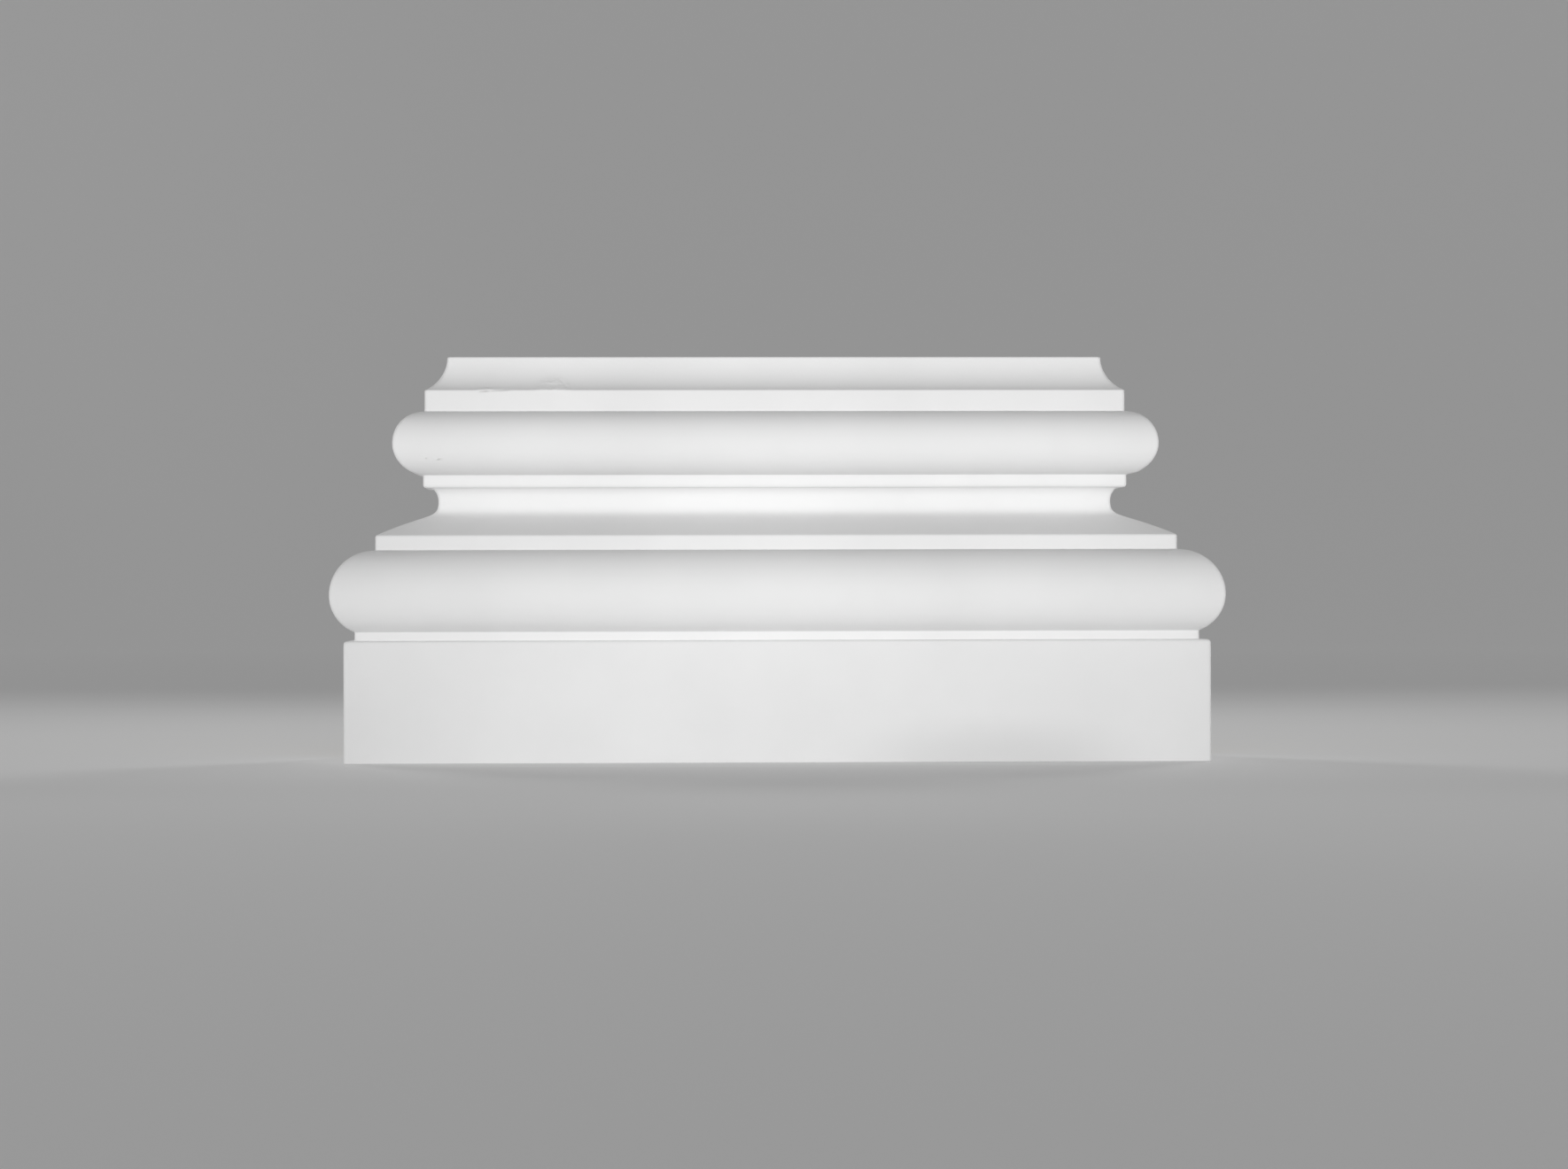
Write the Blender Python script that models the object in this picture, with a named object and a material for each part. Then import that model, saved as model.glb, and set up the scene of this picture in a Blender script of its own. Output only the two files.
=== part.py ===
# Pilaster base: one moulded block in the Attic order of mouldings, carried round its front and both ends.
# Metres, +Z up. The front looks along -Y and the flat back stands against a wall on the +Y side.
# The origin is the middle of the underside.
import bmesh
import bpy
from math import cos, radians, sin

# The pilaster shaft that stands on the base, and the narrow rim left round it
SHAFT_WIDTH = 0.200
SHAFT_DEPTH = 0.020
SHAFT_RIM = 0.002

# How far each moulding stands out beyond the edge of the shaft's seat
PLINTH_OUT = 0.0305
FOOT_FILLET_OUT = 0.0273
LOWER_TORUS_OUT = 0.0346
LIP_OUT = 0.0213
THROAT_OUT = 0.00275
NECK_FILLET_OUT = 0.0073
UPPER_TORUS_OUT = 0.01635
COLLAR_OUT = 0.0068

# Heights, from the underside to the seat. A torus has one height below its belly and one above it,
# and the scotia has one from its lip up to its throat and one on up to its hood.
PLINTH_HEIGHT = 0.0374
FOOT_FILLET_HEIGHT = 0.0027
LOWER_TORUS_BELOW = 0.0113
LOWER_TORUS_ABOVE = 0.0137
LIP_HEIGHT = 0.0045
SCOTIA_SWEEP_HEIGHT = 0.0108
SCOTIA_HOOD_HEIGHT = 0.0041
NECK_FILLET_HEIGHT = 0.0040
UPPER_TORUS_BELOW = 0.0096
UPPER_TORUS_ABOVE = 0.0101
COLLAR_HEIGHT = 0.0066
CAVETTO_HEIGHT = 0.0107

# How far each curve turns between its upright end and the moulding that it runs into
LOWER_TORUS_TUCK_DEG = 68.0
UPPER_TORUS_TUCK_DEG = 84.0
TORUS_CROWN_DEG = 90.0
CAVETTO_TURN_DEG = 65.0
HOOD_TURN_DEG = 75.0

# The scotia's hood comes this far out of the throat before it runs level under the neck fillet
HOOD_REACH = 0.0022

# The scotia's sweep rises off the lip at this slope, almost straight for the first length,
# and falls almost upright out of the throat for the second
SWEEP_SLOPE_DEG = 25.5
SWEEP_RUN = 0.0173
SWEEP_DROP = 0.0050

# Rounding of the outer edges
PLINTH_ARRIS = 0.0012
FILLET_ARRIS = 0.0005
NECK_ARRIS = 0.0011
SEAT_ARRIS = 0.0007
CORNER_ARRIS = 0.0010

# Smoothness of the curves, in straight steps
TORUS_STEPS = 14
HOLLOW_STEPS = 16
ARRIS_STEPS = 3
CORNER_STEPS = 3

# White factory primer on moulded polyurethane
PRIMER_COLOUR = (0.80, 0.80, 0.79, 1.0)
PRIMER_ROUGHNESS = 0.55

SEAT_HALF_WIDTH = SHAFT_WIDTH / 2 + SHAFT_RIM
SEAT_DEPTH = SHAFT_DEPTH + SHAFT_RIM


def bow(upright, far, turn_deg, steps):
    """Elliptical arc that is upright at its first end and has turned by turn_deg at its far end."""
    turn = radians(turn_deg)
    reach = (far[0] - upright[0]) / (1 - cos(turn))
    rise = (far[1] - upright[1]) / sin(turn)
    points = []
    for step in range(steps + 1):
        angle = turn * step / steps
        points.append((upright[0] + reach * (1 - cos(angle)), upright[1] + rise * sin(angle)))
    return points


def sweep(throat, lip, steps):
    """Cubic curve that drops out of the throat and runs out to the lip."""
    slope = radians(SWEEP_SLOPE_DEG)
    below_throat = (throat[0], throat[1] - SWEEP_DROP)
    behind_lip = (lip[0] - SWEEP_RUN * cos(slope), lip[1] + SWEEP_RUN * sin(slope))
    points = []
    for step in range(steps + 1):
        t = step / steps
        weights = ((1 - t) ** 3, 3 * (1 - t) ** 2 * t, 3 * (1 - t) * t ** 2, t ** 3)
        knots = (throat, below_throat, behind_lip, lip)
        points.append(tuple(sum(w * knot[axis] for w, knot in zip(weights, knots)) for axis in (0, 1)))
    return points


def rounded(before, corner, after, reach):
    """Rounds an outer edge, leaving each neighbouring side at most half-way along it."""
    ends = []
    for side in (before, after):
        run = (side[0] - corner[0], side[1] - corner[1])
        length = (run[0] ** 2 + run[1] ** 2) ** 0.5
        share = min(reach, length / 2) / length
        ends.append((corner[0] + run[0] * share, corner[1] + run[1] * share))
    points = []
    for step in range(ARRIS_STEPS + 1):
        t = step / ARRIS_STEPS
        weights = ((1 - t) ** 2, 2 * t * (1 - t), t ** 2)
        knots = (ends[0], corner, ends[1])
        points.append(tuple(sum(w * knot[axis] for w, knot in zip(weights, knots)) for axis in (0, 1)))
    return points


def clear_of(points, corner, reach):
    """The points of a curve that leave room for the rounding of the corner at its end."""
    kept = []
    for point in points:
        distance = ((point[0] - corner[0]) ** 2 + (point[1] - corner[1]) ** 2) ** 0.5
        if distance >= 2 * reach:
            kept.append(point)
    return kept


def moulding_profile():
    """The profile from the underside up to the seat, as (out, height) pairs."""
    plinth_top = PLINTH_HEIGHT
    foot_top = plinth_top + FOOT_FILLET_HEIGHT
    lower_belly = foot_top + LOWER_TORUS_BELOW
    lip_foot = lower_belly + LOWER_TORUS_ABOVE
    lip_top = lip_foot + LIP_HEIGHT
    throat_height = lip_top + SCOTIA_SWEEP_HEIGHT
    neck_foot = throat_height + SCOTIA_HOOD_HEIGHT
    neck_top = neck_foot + NECK_FILLET_HEIGHT
    upper_belly = neck_top + UPPER_TORUS_BELOW
    collar_foot = upper_belly + UPPER_TORUS_ABOVE
    collar_top = collar_foot + COLLAR_HEIGHT
    seat_height = collar_top + CAVETTO_HEIGHT

    foot_edge = (FOOT_FILLET_OUT, foot_top)
    lower_edge = (LOWER_TORUS_OUT, lower_belly)
    lip = (LIP_OUT, lip_top)
    throat = (THROAT_OUT, throat_height)
    hood_end = (THROAT_OUT + HOOD_REACH, neck_foot)
    neck_low = (NECK_FILLET_OUT, neck_foot)
    neck_high = (NECK_FILLET_OUT, neck_top)
    upper_edge = (UPPER_TORUS_OUT, upper_belly)
    collar_low = (COLLAR_OUT, collar_foot)
    collar_high = (COLLAR_OUT, collar_top)
    plinth_low = (PLINTH_OUT, 0.0)
    plinth_high = (PLINTH_OUT, plinth_top)
    foot_low = (FOOT_FILLET_OUT, plinth_top)
    seat = (0.0, seat_height)
    seat_inside = (-SHAFT_RIM, seat_height)

    sweep_curve = clear_of(sweep(throat, lip, HOLLOW_STEPS), lip, FILLET_ARRIS)
    cavetto = clear_of(bow(seat, collar_high, CAVETTO_TURN_DEG, HOLLOW_STEPS), collar_high, FILLET_ARRIS)
    cavetto = clear_of(cavetto, seat, SEAT_ARRIS)

    profile = rounded((PLINTH_OUT - PLINTH_ARRIS * 2, 0.0), plinth_low, plinth_high, PLINTH_ARRIS)
    profile += rounded(plinth_low, plinth_high, foot_low, PLINTH_ARRIS)
    profile.append(foot_low)
    profile += reversed(bow(lower_edge, foot_edge, LOWER_TORUS_TUCK_DEG, TORUS_STEPS))
    profile += bow(lower_edge, (LIP_OUT, lip_foot), TORUS_CROWN_DEG, TORUS_STEPS)[1:]
    profile += rounded((LIP_OUT, lip_foot), lip, sweep_curve[-1], FILLET_ARRIS)
    profile += reversed(sweep_curve)
    profile += bow(throat, hood_end, HOOD_TURN_DEG, HOLLOW_STEPS)[1:]
    profile += rounded(hood_end, neck_low, neck_high, NECK_ARRIS)
    profile += reversed(bow(upper_edge, neck_high, UPPER_TORUS_TUCK_DEG, TORUS_STEPS))
    profile += bow(upper_edge, collar_low, TORUS_CROWN_DEG, TORUS_STEPS)[1:]
    profile += rounded(collar_low, collar_high, cavetto[-1], FILLET_ARRIS)
    profile += reversed(cavetto)
    profile += rounded(cavetto[0], seat, seat_inside, SEAT_ARRIS)
    return profile


def plan_ring(out, wall_y):
    """The plan outline at one level: the back corners on the wall, the two front corners rounded."""
    half_width = SEAT_HALF_WIDTH + out
    front = wall_y - SEAT_DEPTH - out
    ring = [(-half_width, wall_y)]
    for side in (-1, 1):
        centre_x = side * (half_width - CORNER_ARRIS)
        centre_y = front + CORNER_ARRIS
        for step in range(CORNER_STEPS + 1):
            turn = step / CORNER_STEPS if side > 0 else 1 - step / CORNER_STEPS
            angle = radians(90 * turn)
            ring.append((centre_x + side * CORNER_ARRIS * sin(angle), centre_y - CORNER_ARRIS * cos(angle)))
    ring.append((half_width, wall_y))
    return ring


def block_mesh(name):
    """Stacks the plan outlines of the whole profile into one closed block."""
    mesh = bpy.data.meshes.new(name)
    bm = bmesh.new()
    profile = moulding_profile()
    wall_y = (SEAT_DEPTH + max(out for out, height in profile)) / 2
    rings = []
    for out, height in profile:
        rings.append([bm.verts.new((x, y, height)) for x, y in plan_ring(out, wall_y)])
    for lower, upper in zip(rings, rings[1:]):
        for index in range(len(lower)):
            following = (index + 1) % len(lower)
            bm.faces.new((lower[index], lower[following], upper[following], upper[index]))
    bm.faces.new(list(reversed(rings[0])))
    bm.faces.new(rings[-1])
    bmesh.ops.recalc_face_normals(bm, faces=bm.faces)
    bm.to_mesh(mesh)
    bm.free()
    return mesh


def primer_material():
    """White primer with a low sheen."""
    material = bpy.data.materials.new("white_primer")
    material.use_nodes = True
    shader = material.node_tree.nodes["Principled BSDF"]
    shader.inputs["Base Color"].default_value = PRIMER_COLOUR
    shader.inputs["Roughness"].default_value = PRIMER_ROUGHNESS
    shader.inputs["Metallic"].default_value = 0.0
    return material


def main():
    for item in list(bpy.data.objects):
        bpy.data.objects.remove(item, do_unlink=True)
    mesh = block_mesh("pilaster_base")
    mesh.shade_smooth()
    mesh.set_sharp_from_angle(angle=radians(30))
    mesh.materials.append(primer_material())
    base = bpy.data.objects.new("pilaster_base", mesh)
    bpy.context.collection.objects.link(base)


main()
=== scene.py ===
from itertools import accumulate
from math import cos, exp, radians, sin

import bmesh
import bpy
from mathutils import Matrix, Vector, noise


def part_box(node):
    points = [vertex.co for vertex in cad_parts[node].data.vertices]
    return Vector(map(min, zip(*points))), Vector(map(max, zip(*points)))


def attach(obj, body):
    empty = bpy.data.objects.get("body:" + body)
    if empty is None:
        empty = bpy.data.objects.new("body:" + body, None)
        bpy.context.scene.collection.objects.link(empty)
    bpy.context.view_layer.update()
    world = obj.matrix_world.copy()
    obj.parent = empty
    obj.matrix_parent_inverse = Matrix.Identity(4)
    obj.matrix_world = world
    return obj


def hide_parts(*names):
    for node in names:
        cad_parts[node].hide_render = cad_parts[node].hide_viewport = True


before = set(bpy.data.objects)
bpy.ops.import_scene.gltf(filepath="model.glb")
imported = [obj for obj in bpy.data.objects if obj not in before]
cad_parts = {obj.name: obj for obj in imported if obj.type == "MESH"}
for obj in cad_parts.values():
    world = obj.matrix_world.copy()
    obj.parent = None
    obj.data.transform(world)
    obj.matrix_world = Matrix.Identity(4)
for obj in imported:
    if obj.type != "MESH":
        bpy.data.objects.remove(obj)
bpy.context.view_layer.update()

# Looks of a white pilaster base: one moulded block with a sprayed primer.
# Values in the dictionaries are millimetres and degrees unless a note says otherwise.
mm = 0.001
blockLow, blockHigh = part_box("pilaster_base")
print("frame loaded:", sorted(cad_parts))


def linearColour(hexCode):
    # sRGB hex to the linear values that the shaders take
    parts = [int(hexCode[i:i + 2], 16) / 255 for i in (1, 3, 5)]
    return [p / 12.92 if p <= 0.04045 else ((p + 0.055) / 1.055) ** 2.4 for p in parts] + [1.0]


def addNode(tree, kind, inputs=None, **settings):
    # adds one node; an input takes a value, a socket, or a node whose first output is meant
    node = tree.nodes.new(kind)
    for name, value in settings.items():
        setattr(node, name, value)
    for name, value in (inputs or {}).items():
        if isinstance(value, bpy.types.Node):
            value = value.outputs[0]
        if isinstance(value, bpy.types.NodeSocket):
            tree.links.new(value, node.inputs[name])
        else:
            node.inputs[name].default_value = value
    return node


# The profile of the mouldings

outward = dict(  # how far each moulding stands out beyond the seat's edge
    plinth=30.5, footFillet=27.3, lowerTorus=34.6, lip=21.3, throat=2.75,
    neckFillet=7.3, upperTorus=16.35, collar=6.8, seat=0.0,
)
heights = dict(  # of each moulding or part of one, in order from the underside up
    plinth=37.4, footFillet=2.7, lowerTorusBelow=11.3, lowerTorusAbove=13.7, lip=4.5, sweep=10.8,
    hood=4.1, neckFillet=4.0, upperTorusBelow=9.6, upperTorusAbove=10.1, collar=6.6, cavetto=10.7,
)
turns = dict(  # how far each curve has turned from upright where it meets its neighbour
    lowerTuck=68, upperTuck=84, crown=90, cavetto=65, hood=75,
)
scotia = dict(
    hoodReach=2.2,                     # how far the hood comes out of the throat
    sweepSlope=25.5, sweepRun=17.3,    # the sweep leaves the lip at this slope, pulled over this length
    sweepDrop=5.8,                     # and comes upright out of the throat, pulled over this one
    sweepLength=1.15,                  # its length over the straight line between its ends
)
arrises = dict(  # how far along both sides each edge is rounded off
    underside=0.45, plinth=1.35, lip=0.6, neckFillet=1.1, collar=0.45, seat=0.7,
    inner=0.25,                        # the corners where two mouldings meet
    steps=5, clearance=1.15,           # points within this many roundings of a corner make way for it
)
pitch = dict(  # distance between the profile's points
    face=1.4, curve=0.8,
    fine=0.32,                         # on the collar and the cavetto, where the blemishes lie
    cap=4.0,                           # from the underside's and the seat's edges inwards
)


def bow(upright, far, turnDeg, spacing):
    # elliptical arc, upright at its first end, turned by turnDeg at its far end
    turn = radians(turnDeg)
    reach = (far[0] - upright[0]) / (1 - cos(turn))
    rise = (far[1] - upright[1]) / sin(turn)
    steps = round(turn * (abs(reach) + abs(rise)) / 2 / spacing)
    angles = [turn * i / steps for i in range(steps + 1)]
    return [(upright[0] + reach * (1 - cos(a)), upright[1] + rise * sin(a), 0) for a in angles]


def bezier(knots, steps):
    # a curve through its first and last knot, pulled towards the ones between
    points = []
    for i in range(steps + 1):
        level = [Vector(knot) for knot in knots]
        while len(level) > 1:
            level = [a.lerp(b, i / steps) for a, b in zip(level, level[1:])]
        points.append(level[0])
    return points


def face(start, end, spacing):
    # the points inside a straight face, without its two corners
    steps = max(1, round((Vector(end) - Vector(start)).length / spacing))
    return [(*Vector(start).lerp(Vector(end), i / steps), 0) for i in range(1, steps)]


def softenCorners(points):
    # a point is (out, height, reach); where reach isn't 0 the corner there is rounded off over that length
    sides = [(Vector(b[:2]) - Vector(a[:2])).length for a, b in zip(points, points[1:])]
    along = [0.0, *accumulate(sides)]
    corners = [i for i, point in enumerate(points) if point[2]]

    def spot(distance):
        k = next(i for i in range(1, len(along)) if along[i] >= distance)
        share = (distance - along[k - 1]) / (along[k] - along[k - 1])
        return Vector(points[k - 1][:2]).lerp(Vector(points[k][:2]), share)

    soft = []
    for i, (out, height, reach) in enumerate(points):
        if reach:
            knots = (spot(along[i] - reach), (out, height), spot(along[i] + reach))
            soft += bezier(knots, arrises["steps"])
        elif all(abs(along[i] - along[k]) > points[k][2] * arrises["clearance"] for k in corners):
            soft.append(Vector((out, height)))
    return soft


def mouldingProfile():
    # the line from the underside up to the seat, as (out, height) points
    levels = list(accumulate(heights.values()))
    plinthTop, footTop, lowerBelly, lipFoot, lipTop, throatLevel = levels[:6]
    neckFoot, neckTop, upperBelly, collarFoot, collarTop, seatLevel = levels[6:]
    inner, curve, fine = arrises["inner"], pitch["curve"], pitch["fine"]
    slope, run = radians(scotia["sweepSlope"]), scotia["sweepRun"]
    throat = (outward["throat"], throatLevel)
    lip = (outward["lip"], lipTop)
    belowThroat = (throat[0], throat[1] - scotia["sweepDrop"])
    behindLip = (lip[0] - run * cos(slope), lip[1] + run * sin(slope))
    hoodEnd = (throat[0] + scotia["hoodReach"], neckFoot)
    lowerEdge, upperEdge = (outward["lowerTorus"], lowerBelly), (outward["upperTorus"], upperBelly)
    foot, neck, collar = outward["footFillet"], outward["neckFillet"], outward["collar"]

    points = [(outward["plinth"] - pitch["cap"], 0, 0), (outward["plinth"], 0, arrises["underside"])]
    points += face((outward["plinth"], 0), (outward["plinth"], plinthTop), pitch["face"])
    points += [(outward["plinth"], plinthTop, arrises["plinth"]), (foot, plinthTop, inner)]
    points += face((foot, plinthTop), (foot, footTop), curve)
    points += [(foot, footTop, inner)]
    points += bow(lowerEdge, (foot, footTop), turns["lowerTuck"], curve)[-2::-1]
    points += bow(lowerEdge, (lip[0], lipFoot), turns["crown"], curve)[1:-1]
    points += [(lip[0], lipFoot, inner)]
    points += face((lip[0], lipFoot), lip, curve)
    points += [(*lip, arrises["lip"])]
    chord = Vector((lip[0] - throat[0], lip[1] - throat[1])).length
    sweepSteps = round(chord * scotia["sweepLength"] / curve)
    points += [(*p, 0) for p in bezier((lip, behindLip, belowThroat, throat), sweepSteps)[1:]]
    points += bow(throat, hoodEnd, turns["hood"], curve)[1:-1]
    points += [(*hoodEnd, inner), (neck, neckFoot, arrises["neckFillet"])]
    points += face((neck, neckFoot), (neck, neckTop), curve)
    points += [(neck, neckTop, inner)]
    points += bow(upperEdge, (neck, neckTop), turns["upperTuck"], curve)[-2::-1]
    points += bow(upperEdge, (collar, collarFoot), turns["crown"], curve)[1:-1]
    points += [(collar, collarFoot, inner)]
    points += face((collar, collarFoot), (collar, collarTop), fine)
    points += [(collar, collarTop, arrises["collar"])]
    points += bow((outward["seat"], seatLevel), (collar, collarTop), turns["cavetto"], fine)[-2:0:-1]
    points += [(outward["seat"], seatLevel, arrises["seat"])]
    points += [(outward["seat"] - pitch["cap"], seatLevel, 0)]
    return softenCorners(points)


# The block: Geometry Nodes carry the profile round the plan

block = dict(
    cornerRadius=1.0, cornerPoints=5,  # of the upright edges between front and ends
    frontSpacing=1.3, endSpacing=0.6, backSpacing=12.0,
    wander=0.10,                       # how far the cast faces stray inwards from true
    wanderLength=42.0, wanderDetail=2.0,
    wanderFade=9.0,                    # nearer than this to the underside or the seat, heights stray less
    seed=4.0,
    weld=0.0005,                       # points closer than this become one
    sharpAngle=38.0,                   # edges that turn more than this stay crisp
    wallNormal=0.99,                   # faces that look this straight at the wall are the back
)


def blockTree():
    tree = bpy.data.node_groups.new("mouldingRun", "GeometryNodeTree")
    tree.is_modifier = True
    lengths = (
        "Seat Width", "Seat Depth", "Wall Y", "Height", "Corner Radius", "Front Spacing", "End Spacing",
        "Back Spacing", "Wander", "Wander Length", "Wander Fade", "Seed",
    )
    tree.interface.new_socket("Profile", in_out="INPUT", socket_type="NodeSocketGeometry")
    for name in lengths:
        tree.interface.new_socket(name, in_out="INPUT", socket_type="NodeSocketFloat")
    tree.interface.new_socket("Primer", in_out="INPUT", socket_type="NodeSocketMaterial")
    tree.interface.new_socket("Block", in_out="OUTPUT", socket_type="NodeSocketGeometry")
    given = addNode(tree, "NodeGroupInput").outputs
    math, vectorMath = "ShaderNodeMath", "ShaderNodeVectorMath"
    position = addNode(tree, "GeometryNodeInputPosition")
    spot = addNode(tree, "ShaderNodeSeparateXYZ", {"Vector": position}).outputs

    # the seat's outline, its two front corners rounded
    middleY = addNode(tree, math, {0: given["Seat Depth"], 1: -0.5, 2: given["Wall Y"]},
                      operation="MULTIPLY_ADD")
    onWall = addNode(tree, "ShaderNodeCombineXYZ", {"Y": middleY})
    outline = addNode(tree, "GeometryNodeCurvePrimitiveQuadrilateral",
                      {"Width": given["Seat Width"], "Height": given["Seat Depth"]}, mode="RECTANGLE")
    outline = addNode(tree, "GeometryNodeTransform", {"Geometry": outline, "Translation": onWall})
    inFront = addNode(tree, math, {0: spot["Y"], 1: middleY}, operation="LESS_THAN")
    radius = addNode(tree, math, {0: inFront, 1: given["Corner Radius"]}, operation="MULTIPLY")
    outline = addNode(tree, "GeometryNodeFilletCurve",
                      {"Curve": outline, "Count": block["cornerPoints"], "Radius": radius}, mode="POLY")

    # stations along it, close together where it shows and sparse along the wall
    following = addNode(tree, "GeometryNodeOffsetPointInCurve", {"Offset": 1}).outputs["Point Index"]
    nextSpot = addNode(tree, "GeometryNodeFieldAtIndex", {"Value": position, "Index": following},
                       data_type="FLOAT_VECTOR")
    gap = addNode(tree, vectorMath, {0: nextSpot, 1: position}, operation="SUBTRACT")
    gap = addNode(tree, vectorMath, {0: gap}, operation="ABSOLUTE")
    gap = addNode(tree, "ShaderNodeSeparateXYZ", {"Vector": gap}).outputs
    spacing = addNode(tree, "ShaderNodeMapRange", {
        "Value": inFront, "To Min": given["Back Spacing"], "To Max": given["Front Spacing"]})
    acrossCuts = addNode(tree, math, {0: gap["X"], 1: spacing}, operation="DIVIDE")
    endCuts = addNode(tree, math, {0: gap["Y"], 1: given["End Spacing"]}, operation="DIVIDE")
    cuts = addNode(tree, math, {0: acrossCuts, 1: endCuts}, operation="ADD")
    outline = addNode(tree, "GeometryNodeSubdivideCurve", {"Curve": outline, "Cuts": cuts})

    # spread: which way, and how much, a station moves when the profile stands out further
    halfWidth = addNode(tree, math, {0: given["Seat Width"], 1: 0.5}, operation="MULTIPLY")
    straightWidth = addNode(tree, math, {0: halfWidth, 1: given["Corner Radius"]}, operation="SUBTRACT")
    sideways = addNode(tree, math, {0: spot["X"], 1: straightWidth}, operation="DIVIDE")
    sideways = addNode(tree, "ShaderNodeClamp", {"Value": sideways, "Min": -1.0, "Max": 1.0})
    straightDepth = addNode(tree, math, {0: given["Corner Radius"], 1: given["Seat Depth"]},
                            operation="SUBTRACT")
    offWall = addNode(tree, math, {0: given["Wall Y"], 1: spot["Y"]}, operation="SUBTRACT")
    forwards = addNode(tree, math, {0: offWall, 1: straightDepth}, operation="DIVIDE")
    forwards = addNode(tree, "ShaderNodeClamp", {"Value": forwards, "Min": -1.0, "Max": 0.0})
    spread = addNode(tree, "ShaderNodeCombineXYZ", {"X": sideways, "Y": forwards})
    for name, value in (("plan", position), ("spread", spread)):
        outline = addNode(tree, "GeometryNodeStoreNamedAttribute",
                          {"Geometry": outline, "Name": name, "Value": value}, data_type="FLOAT_VECTOR")
    profile = addNode(tree, "GeometryNodeMeshToCurve", {"Mesh": given["Profile"]})
    profile = addNode(tree, "GeometryNodeStoreNamedAttribute",
                      {"Geometry": profile, "Name": "section", "Value": position},
                      data_type="FLOAT_VECTOR")
    form = addNode(tree, "GeometryNodeCurveToMesh", {"Curve": outline, "Profile Curve": profile})

    # every point goes to its station, moved outwards and upwards by its place in the profile
    plan, spread, section = [
        addNode(tree, "GeometryNodeInputNamedAttribute", {"Name": name}, data_type="FLOAT_VECTOR")
        for name in ("plan", "spread", "section")]
    section = addNode(tree, "ShaderNodeSeparateXYZ", {"Vector": section}).outputs
    outwards = addNode(tree, vectorMath, {0: spread, "Scale": section["X"]}, operation="SCALE")
    upwards = addNode(tree, "ShaderNodeCombineXYZ", {"Z": section["Y"]})
    truePlace = addNode(tree, vectorMath, {0: plan, 1: outwards}, operation="ADD")
    truePlace = addNode(tree, vectorMath, {0: truePlace, 1: upwards}, operation="ADD")
    form = addNode(tree, "GeometryNodeSetPosition", {"Geometry": form, "Position": truePlace})

    # a casting is never quite true: faces stray inwards and lines stray up and down
    wave = addNode(tree, math, {0: 1.0, 1: given["Wander Length"]}, operation="DIVIDE")
    stray = addNode(tree, "ShaderNodeTexNoise", {
        "Vector": position, "W": given["Seed"], "Scale": wave, "Detail": block["wanderDetail"]},
                    noise_dimensions="4D").outputs["Color"]
    inwardOnly, bothWays = 1.0, 0.5
    stray = addNode(tree, vectorMath, {0: stray, 1: (inwardOnly, bothWays, bothWays)}, operation="SUBTRACT")
    stray = addNode(tree, vectorMath, {0: stray, "Scale": given["Wander"]}, operation="SCALE")
    stray = addNode(tree, "ShaderNodeSeparateXYZ", {"Vector": stray}).outputs
    toTop = addNode(tree, math, {0: given["Height"], 1: section["Y"]}, operation="SUBTRACT")
    toEnd = addNode(tree, math, {0: toTop, 1: section["Y"]}, operation="MINIMUM")
    fade = addNode(tree, "ShaderNodeMapRange", {"Value": toEnd, "From Max": given["Wander Fade"]})
    inwards = addNode(tree, vectorMath, {0: spread, "Scale": stray["X"]}, operation="SCALE")
    lift = addNode(tree, math, {0: stray["Y"], 1: fade}, operation="MULTIPLY")
    lift = addNode(tree, "ShaderNodeCombineXYZ", {"Z": lift})
    shift = addNode(tree, vectorMath, {0: inwards, 1: lift}, operation="ADD")
    form = addNode(tree, "GeometryNodeSetPosition", {"Geometry": form, "Offset": shift})

    form = addNode(tree, "GeometryNodeRealizeInstances", {"Geometry": form})
    form = addNode(tree, "GeometryNodeSetMaterial", {"Geometry": form, "Material": given["Primer"]})
    addNode(tree, "NodeGroupOutput", {"Block": form})
    return tree


def sweptBlock(primer):
    # the profile as a line of points, swept by the tree and turned into a plain mesh
    points = mouldingProfile()
    edges = [(i, i + 1) for i in range(len(points) - 1)]
    line = bpy.data.meshes.new("profileLine")
    line.from_pydata([(p.x * mm, p.y * mm, 0) for p in points], edges, [])
    holder = bpy.data.objects.new("profileLine", line)
    bpy.context.scene.collection.objects.link(holder)
    run = holder.modifiers.new("mouldingRun", "NODES")
    run.node_group = blockTree()
    widest = outward["lowerTorus"] * mm
    values = {
        "Seat Width": blockHigh.x - blockLow.x - 2 * widest,
        "Seat Depth": blockHigh.y - blockLow.y - widest,
        "Wall Y": blockHigh.y,
        "Height": blockHigh.z,
        "Corner Radius": block["cornerRadius"] * mm,
        "Front Spacing": block["frontSpacing"] * mm,
        "End Spacing": block["endSpacing"] * mm,
        "Back Spacing": block["backSpacing"] * mm,
        "Wander": block["wander"] * mm,
        "Wander Length": block["wanderLength"] * mm,
        "Wander Fade": block["wanderFade"] * mm,
        "Seed": block["seed"],
        "Primer": primer,
    }
    for item in run.node_group.interface.items_tree:
        if item.in_out == "INPUT" and item.name in values:
            run[item.identifier] = values[item.name]
    graph = bpy.context.evaluated_depsgraph_get()
    mesh = bpy.data.meshes.new_from_object(holder.evaluated_get(graph), preserve_all_data_layers=True,
                                           depsgraph=graph)
    holder.modifiers.remove(run)
    bpy.data.objects.remove(holder)
    for name in ("plan", "spread", "section"):
        mesh.attributes.remove(mesh.attributes[name])
    return mesh


# Blemishes that the photograph shows, each at its place on the front: (x, z) in millimetres

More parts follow.
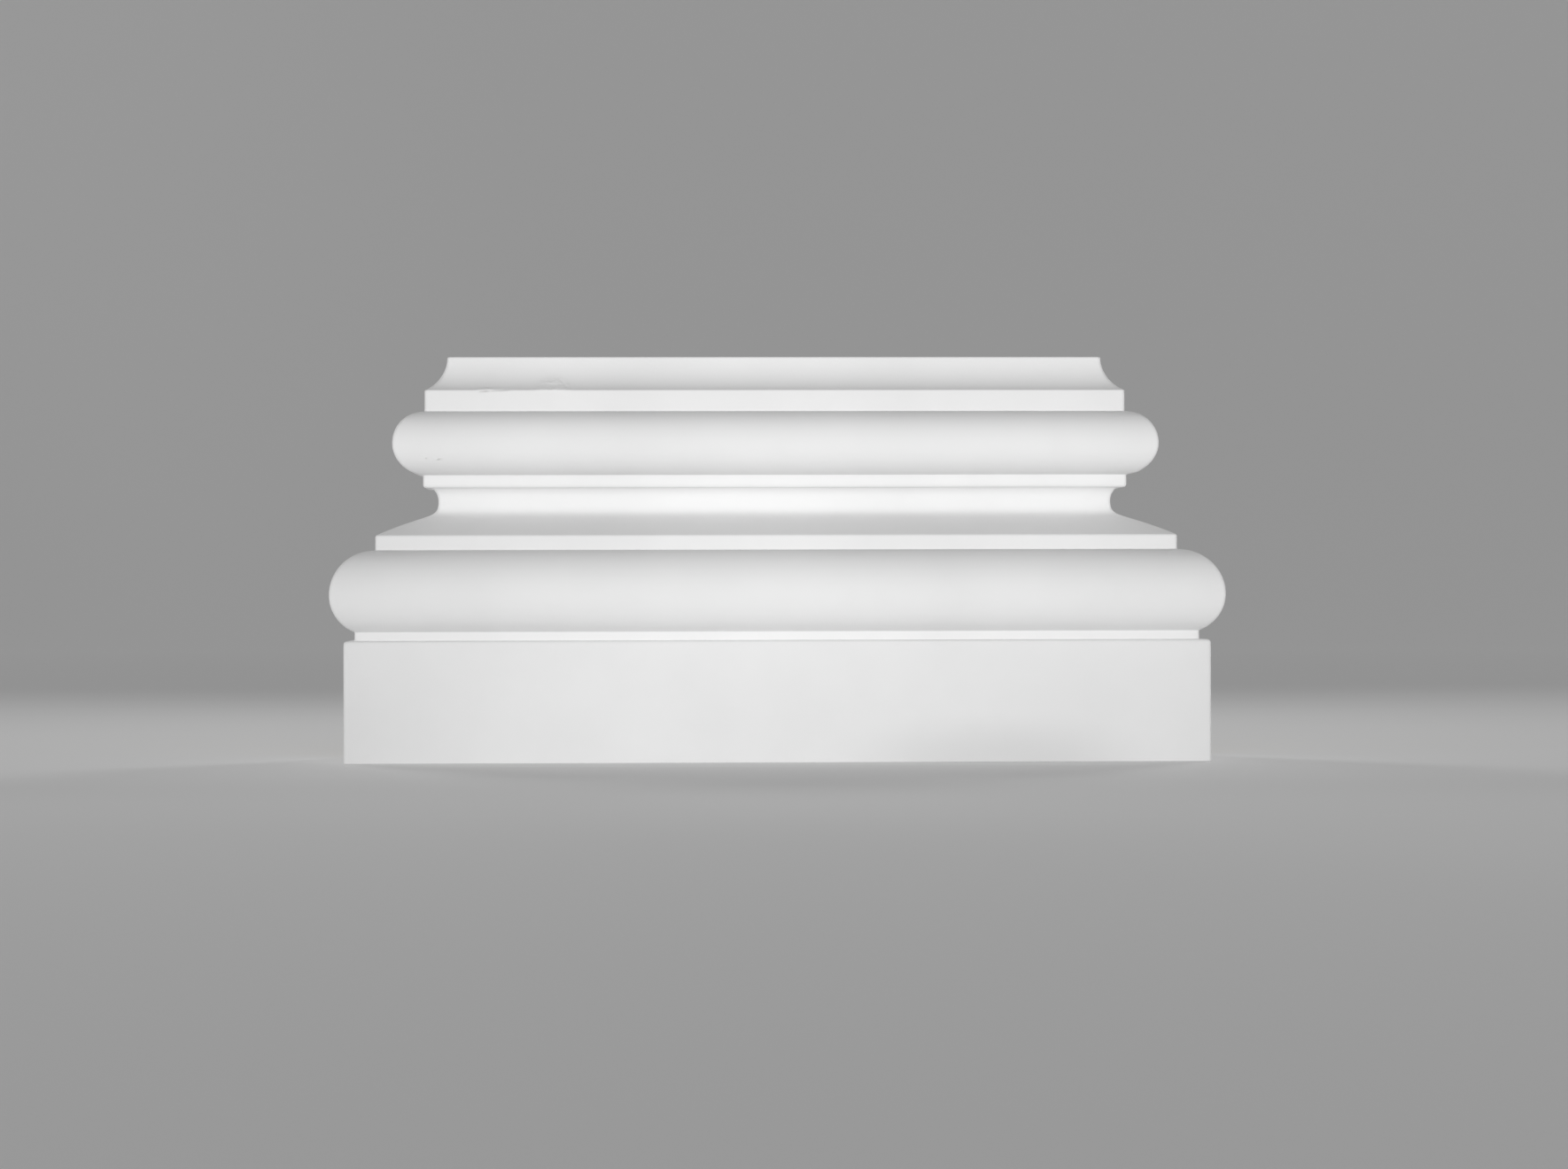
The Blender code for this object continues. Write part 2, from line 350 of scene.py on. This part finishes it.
# the bare share of each hole is its missing coat and the painted shade inside it
pinholes = [
    dict(at=(-104.05, 93.25), radius=0.28, depth=0.28, bareAndShade=0.42),
    dict(at=(-107.85, 93.55), radius=0.28, depth=0.14, bareAndShade=0.17),
]
presses = [  # long and high are half lengths, and push is the way the surface goes; slant rises to the right, arch lets the ends droop, and the bare share is how far the coat is rubbed off there, painted darker as shade
    # right, arch lets the ends droop, and bare is how far the coat is rubbed off there
    dict(name="nick under the collar's edge", at=(-90.3, 114.50), long=1.5, high=0.22, slant=4,
         push=(0, 0.42, 0), bareAndShade=0.35),
    dict(name="burr pushed up over it", at=(-90.0, 115.32), long=2.4, high=0.26, arch=0.2,
         push=(0, -0.20, 0.06)),
    dict(name="rubbed edge beside it", at=(-85.6, 114.78), long=3.0, high=0.22, slant=2,
         push=(0, 0.22, -0.06), bareAndShade=0.10),
    dict(name="swelling in the cavetto", at=(-69.0, 116.90), long=4.9, high=1.70, arch=1.3,
         push=(0, -0.30, 0.10)),
    dict(name="fold across it", at=(-69.4, 115.30), long=4.2, high=0.52, arch=0.2,
         push=(0, -0.15, 0.05)),
    dict(name="crease at its right end", at=(-65.6, 116.9), long=1.5, high=0.40, slant=-52,
         push=(0, 0.12, -0.08)),
    dict(name="speck on the collar's edge", at=(-69.6, 114.7), long=0.6, high=0.30,
         push=(0, -0.12, 0.06)),
    dict(name="nib under the upper torus", at=(113.0, 89.3), long=0.9, high=0.35,
         push=(0, -0.12, -0.20)),
]
pressing = dict(
    wallBand=20.0,                     # the block is left alone this near the wall
    finerPlace=(-78.0, 116.2), finerReach=(19.0, 4.6),    # finer mesh over the nick and the swelling
    finerCuts=3,
    levelShare=0.7,                    # an edge runs along the moulding when x takes this much of it
    reach=2.0,                         # a press acts out to this many times its half length
    uneven=0.45, unevenAlong=0.9, unevenUp=1.4,    # how much a press varies, and how quickly
    pinFiner=1.5, pinCuts=8,           # the mesh is finer this far from a pinhole
    pinReach=1.2,                      # and pulled in this far from it
)


def frontVerts(bm, place, reach):
    # the vertices of the front within reach of a place, along x and z
    frontY = blockHigh.y - pressing["wallBand"] * mm
    near = [v for v in bm.verts if v.co.y < frontY and abs(v.co.x / mm - place[0]) < reach[0]]
    return [v for v in near if abs(v.co.z / mm - place[1]) < reach[1]]


def cutFiner(bm, place, reach, cuts, levelOnly=False):
    # divides the faces there; levelOnly divides just the edges that run along the moulding
    near = set(frontVerts(bm, place, reach))
    edges = [e for e in bm.edges if e.verts[0] in near and e.verts[1] in near]
    if levelOnly:
        share = pressing["levelShare"]
        edges = [e for e in edges if abs(e.verts[0].co.x - e.verts[1].co.x) > e.calc_length() * share]
    bmesh.ops.subdivide_edges(bm, edges=edges, cuts=cuts, use_grid_fill=True)


def pressIn(bm, bareAndShade, press):
    # one soft-edged hollow or ridge on the front, a little uneven along its length
    x, z = press["at"]
    lean = radians(press.get("slant", 0))
    reach = press["long"] * pressing["reach"]
    for vert in frontVerts(bm, press["at"], (reach, reach)):
        across, up = vert.co.x / mm - x, vert.co.z / mm - z
        along = (across * cos(lean) + up * sin(lean)) / press["long"]
        off = (up * cos(lean) - across * sin(lean) + press.get("arch", 0) * along ** 2) / press["high"]
        share = exp(-(along ** 4) - off ** 2)
        spot = Vector((across * pressing["unevenAlong"], up * pressing["unevenUp"], z))
        share *= 1 + pressing["uneven"] * noise.noise(spot)
        vert.co += Vector(press["push"]) * mm * share
        # rubbed-off coat, drawn dark grey as painted shade
        vert[bareAndShade] += press.get("bareAndShade", 0) * share


def pierce(bm, bareAndShade, pin):
    # one air-bubble hole, pulled in along the surface's own normal, its middle painted dark as the shade
    # inside it
    x, z = pin["at"]
    cutFiner(bm, pin["at"], (pressing["pinFiner"], pressing["pinFiner"]), pressing["pinCuts"])
    bm.normal_update()
    near = frontVerts(bm, pin["at"], (pressing["pinReach"], pressing["pinReach"]))
    normals = [vert.normal.copy() for vert in near]
    for vert, normal in zip(near, normals):
        off = Vector((vert.co.x / mm - x, vert.co.z / mm - z)).length / pin["radius"]
        share = exp(-(off ** 4))
        vert.co -= normal * pin["depth"] * mm * share
        vert[bareAndShade] += pin["bareAndShade"] * share


def makeBlock(primer, bareBack):
    # the swept block closed at the underside and the seat, with its blemishes and its two finishes
    mesh = sweptBlock(primer)
    bm = bmesh.new()
    bm.from_mesh(mesh)
    bmesh.ops.remove_doubles(bm, verts=bm.verts, dist=block["weld"] * mm)
    openEdges = [e for e in bm.edges if e.is_boundary]
    bmesh.ops.holes_fill(bm, edges=openEdges, sides=0)
    print("block swept")
    bareAndShade = bm.verts.layers.float.new("bareAndShade")  # where the coat is missing, darkened as painted shade in the pinholes and the nick
    cutFiner(bm, pressing["finerPlace"], pressing["finerReach"], pressing["finerCuts"], levelOnly=True)
    for press in presses:
        pressIn(bm, bareAndShade, press)
        print("pressed in:", press["name"])
    for pin in pinholes:
        pierce(bm, bareAndShade, pin)
    print("pinholes:", len(pinholes))
    bmesh.ops.dissolve_degenerate(bm, edges=bm.edges, dist=block["weld"] * mm)
    bmesh.ops.recalc_face_normals(bm, faces=bm.faces)
    bm.to_mesh(mesh)
    bm.free()
    mesh.materials.clear()
    mesh.materials.append(primer)
    mesh.materials.append(bareBack)
    for polygon in mesh.polygons:
        polygon.material_index = 1 if polygon.normal.y > block["wallNormal"] else 0
    mesh.shade_smooth()
    mesh.set_sharp_from_angle(angle=radians(block["sharpAngle"]))
    piece = bpy.data.objects.new("primedBase", mesh)
    bpy.context.scene.collection.objects.link(piece)
    triangles = sum(len(p.vertices) - 2 for p in mesh.polygons)
    print("block:", triangles, "triangles")
    return piece


# Finishes

primerFinish = dict(
    white="#EBEBEB", shade="#E6E6E6",  # the coat and its thinner patches
    bareAndShade="#8C8A84",                    # bare foam darkened with painted shade, in the pinholes and the nick
    patchSize=60.0,
    peelSize=1.1, grainSize=0.45,      # real spray texture is finer; this is as coarse as it needs to show
    peelHeight=0.006,
    roughness=(0.62, 0.72), specular=0.25, ior=1.48,
)
plinthShade = dict(  # painted shade: grey, darker towards the bottom of the right half of the plinth
    place=(66, -24.2, 0), reach=(60, 20, 17), colour="#CFCFCF", strength=0.58,
    core=0.15,                         # full strength within this share of its reach
)


def primerMaterial():
    # acrylic factory primer sprayed on moulded polyurethane: chalky white, a faint satin bloom,
    # soft patches where the coat is thinner and a very fine spray texture
    material = bpy.data.materials.new("sprayedPrimer")
    material.use_nodes = True
    tree = material.node_tree
    shader = tree.nodes["Principled BSDF"]
    shader.inputs["Specular IOR Level"].default_value = primerFinish["specular"]
    shader.inputs["IOR"].default_value = primerFinish["ior"]
    place = addNode(tree, "ShaderNodeTexCoord").outputs["Object"]
    patches = addNode(tree, "ShaderNodeTexNoise", {
        "Vector": place, "Scale": 1 / (primerFinish["patchSize"] * mm), "Detail": 4.0, "Roughness": 0.55})
    patches = addNode(tree, "ShaderNodeMapRange", {"Value": patches, "From Min": 0.35, "From Max": 0.65})

    # colour: patches, painted plinth shade, then bare spots with painted shade; a mix takes its two colours
    # at 6 and 7
    coat, thinCoat = linearColour(primerFinish["white"]), linearColour(primerFinish["shade"])
    shadeGrey, shadedFoam = linearColour(plinthShade["colour"]), linearColour(primerFinish["bareAndShade"])
    colour = addNode(tree, "ShaderNodeMix", {0: patches, 6: coat, 7: thinCoat}, data_type="RGBA")
    # painted shade, darkest near its place low on the plinth's right and fading out over its reach
    away = addNode(tree, "ShaderNodeVectorMath",
                   {0: place, 1: Vector(plinthShade["place"]) * mm}, operation="SUBTRACT")
    away = addNode(tree, "ShaderNodeVectorMath",
                   {0: away, 1: Vector(plinthShade["reach"]) * mm}, operation="DIVIDE")
    away = addNode(tree, "ShaderNodeVectorMath", {0: away}, operation="LENGTH").outputs["Value"]
    shadeShare = addNode(tree, "ShaderNodeMapRange", {
        "Value": away, "From Min": 1.0, "From Max": plinthShade["core"], "To Max": plinthShade["strength"]},
                     interpolation_type="SMOOTHSTEP")
    colour = addNode(tree, "ShaderNodeMix", {0: shadeShare, 6: colour.outputs[2], 7: shadeGrey}, data_type="RGBA")
    # bare coat with painted shade in the pinholes and the nick
    bareAndShade = addNode(tree, "ShaderNodeAttribute", attribute_name="bareAndShade").outputs["Fac"]
    colour = addNode(tree, "ShaderNodeMix", {0: bareAndShade, 6: colour.outputs[2], 7: shadedFoam}, data_type="RGBA")
    tree.links.new(colour.outputs[2], shader.inputs["Base Color"])

    # gloss and spray texture
    grain = addNode(tree, "ShaderNodeTexNoise", {
        "Vector": place, "Scale": 1 / (primerFinish["grainSize"] * mm), "Detail": 2.0})
    low, high = primerFinish["roughness"]
    gloss = addNode(tree, "ShaderNodeMapRange", {"Value": patches, "To Min": low, "To Max": high})
    tree.links.new(gloss.outputs[0], shader.inputs["Roughness"])
    peel = addNode(tree, "ShaderNodeTexNoise", {
        "Vector": place, "Scale": 1 / (primerFinish["peelSize"] * mm), "Detail": 3.0})
    relief = addNode(tree, "ShaderNodeMath", {0: peel, 1: grain}, operation="ADD")
    bump = addNode(tree, "ShaderNodeBump", {
        "Height": relief, "Strength": 1.0, "Distance": primerFinish["peelHeight"] * mm})
    tree.links.new(bump.outputs[0], shader.inputs["Normal"])
    return material


backFinish = dict(
    skin="#E4DDCB", shade="#D6CDB8", patchSize=45.0, roughness=0.75,
    poreSize=3.5, poreDepth=0.2, poreStrength=0.6,
)


def bareBackMaterial():
    # the wall side, off the mould's lid: unprimed cream polyurethane skin, dull, with open pores
    material = bpy.data.materials.new("bareMouldedPolyurethane")
    material.use_nodes = True
    tree = material.node_tree
    shader = tree.nodes["Principled BSDF"]
    shader.inputs["Roughness"].default_value = backFinish["roughness"]
    place = addNode(tree, "ShaderNodeTexCoord").outputs["Object"]
    patches = addNode(tree, "ShaderNodeTexNoise", {
        "Vector": place, "Scale": 1 / (backFinish["patchSize"] * mm), "Detail": 5.0})
    skin, shade = linearColour(backFinish["skin"]), linearColour(backFinish["shade"])
    colour = addNode(tree, "ShaderNodeMix", {0: patches, 6: skin, 7: shade}, data_type="RGBA")
    tree.links.new(colour.outputs[2], shader.inputs["Base Color"])
    pores = addNode(tree, "ShaderNodeTexVoronoi", {
        "Vector": place, "Scale": 1 / (backFinish["poreSize"] * mm)}).outputs["Distance"]
    pores = addNode(tree, "ShaderNodeMapRange", {"Value": pores, "From Min": 0.05, "From Max": 0.18})
    bump = addNode(tree, "ShaderNodeBump", {
        "Height": pores, "Strength": backFinish["poreStrength"], "Distance": backFinish["poreDepth"] * mm})
    tree.links.new(bump.outputs[0], shader.inputs["Normal"])
    return material


# Studio

studio = dict(
    floorRadius=2300.0, rimRadius=900.0, wallHeight=1500.0,
    rimStep=5, sides=72,               # degrees between the rim's rings, and sides of each ring
    floorColour="#CACACA", floorRoughness=0.95, floorSpecular=0.1,
    floorGlow=0.16,                    # the floor is translucent and lit from behind, so never dark
    airColour="#FFFFFF", airStrength=0.18,
)
lamps = [  # round soft boxes with a grid, which keeps their light on the piece
    dict(name="softBoxLeft", place=(-1150, -1000, 60), aim=(0, 0, 150), size=120, cone=24, watts=34.1),
    dict(name="softBoxRight", place=(1150, -1000, 60), aim=(0, 0, 150), size=120, cone=24, watts=20.8),
    dict(name="softBoxFront", place=(500, -1400, 60), aim=(40, 0, 150), size=120, cone=22, watts=20.2),
    dict(name="softBoxAbove", place=(-20, -680, 400), aim=(-20, 0, 50), size=300, cone=36, watts=3.4),
    dict(name="softBoxBehindLeft", place=(-800, 1300, 700), aim=(0, 20, 90), size=500, cone=46,
         watts=26),
    dict(name="softBoxBehindRight", place=(800, 1300, 700), aim=(0, 20, 90), size=500, cone=46,
         watts=26),
]
view = dict(  # found from the photograph's level lines and from how the deeper mouldings shift
    place=(-45.4, -1351.7, 54.4), turn=-2.03, roll=0.124, lens=100.0, sensor=36.0,
)


def studioBowl():
    # a round floor whose rim runs up into a wall, seamless from every side, of opal acrylic sheet:
    # it lets light through, so it looks even and pale and has no shine
    material = bpy.data.materials.new("opalAcrylicSweep")
    material.use_nodes = True
    shader = material.node_tree.nodes["Principled BSDF"]
    shader.inputs["Base Color"].default_value = linearColour(studio["floorColour"])
    shader.inputs["Roughness"].default_value = studio["floorRoughness"]
    shader.inputs["Specular IOR Level"].default_value = studio["floorSpecular"]
    shader.inputs["Emission Color"].default_value = (1, 1, 1, 1)
    shader.inputs["Emission Strength"].default_value = studio["floorGlow"]
    flat, bend, top = studio["floorRadius"], studio["rimRadius"], studio["wallHeight"]
    section = [(flat / 2, 0.0)]
    for degrees in range(0, 91, studio["rimStep"]):
        section.append((flat + bend * sin(radians(degrees)), bend * (1 - cos(radians(degrees)))))
    section.append((flat + bend, top))
    sides = studio["sides"]
    angles = [radians(360 * i / sides) for i in range(sides)]
    bm = bmesh.new()
    middle = bm.verts.new((0, 0, 0))
    rings = []
    for radius, height in section:
        places = [Vector((radius * cos(a), radius * sin(a), height)) * mm for a in angles]
        rings.append([bm.verts.new(place) for place in places])
    for i in range(sides):
        k = (i + 1) % sides
        bm.faces.new((middle, rings[0][i], rings[0][k]))
        for inner, outer in zip(rings, rings[1:]):
            bm.faces.new((inner[i], outer[i], outer[k], inner[k]))
    mesh = bpy.data.meshes.new("studioFloor")
    bm.to_mesh(mesh)
    bm.free()
    mesh.shade_smooth()
    mesh.materials.append(material)
    floor = bpy.data.objects.new("studioFloor", mesh)
    bpy.context.scene.collection.objects.link(floor)


def studioLight():
    for lamp in lamps:
        light = bpy.data.lights.new(lamp["name"], "SPOT")
        light.energy = lamp["watts"]
        light.spot_size = radians(lamp["cone"])
        light.spot_blend = 1.0  # fades evenly from the middle of the beam to its edge
        light.shadow_soft_size = lamp["size"] / 2 * mm
        holder = bpy.data.objects.new(lamp["name"], light)
        bpy.context.scene.collection.objects.link(holder)
        holder.location = Vector(lamp["place"]) * mm
        aim = Vector(lamp["aim"]) - Vector(lamp["place"])
        holder.rotation_euler = aim.to_track_quat("-Z", "Y").to_euler()
        holder.visible_camera = False
    world = bpy.data.worlds.new("studioAir")
    bpy.context.scene.world = world
    world.use_nodes = True
    air = world.node_tree.nodes["Background"]
    air.inputs["Color"].default_value = linearColour(studio["airColour"])
    air.inputs["Strength"].default_value = studio["airStrength"]


def photoCamera():
    lens = bpy.data.cameras.new("photoCamera")
    lens.lens = view["lens"]
    lens.sensor_width = view["sensor"]
    lens.clip_start = 50 * mm
    lens.clip_end = 20000 * mm
    camera = bpy.data.objects.new("photoCamera", lens)
    bpy.context.scene.collection.objects.link(camera)
    camera.location = Vector(view["place"]) * mm
    camera.rotation_euler = (radians(90), radians(view["roll"]), radians(view["turn"]))
    bpy.context.scene.camera = camera


def main():
    photoCamera()
    studioBowl()
    studioLight()
    bpy.context.scene.view_settings.view_transform = "Standard"
    print("studio ready")
    base = makeBlock(primerMaterial(), bareBackMaterial())
    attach(base, "root")
    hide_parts("pilaster_base")


main()
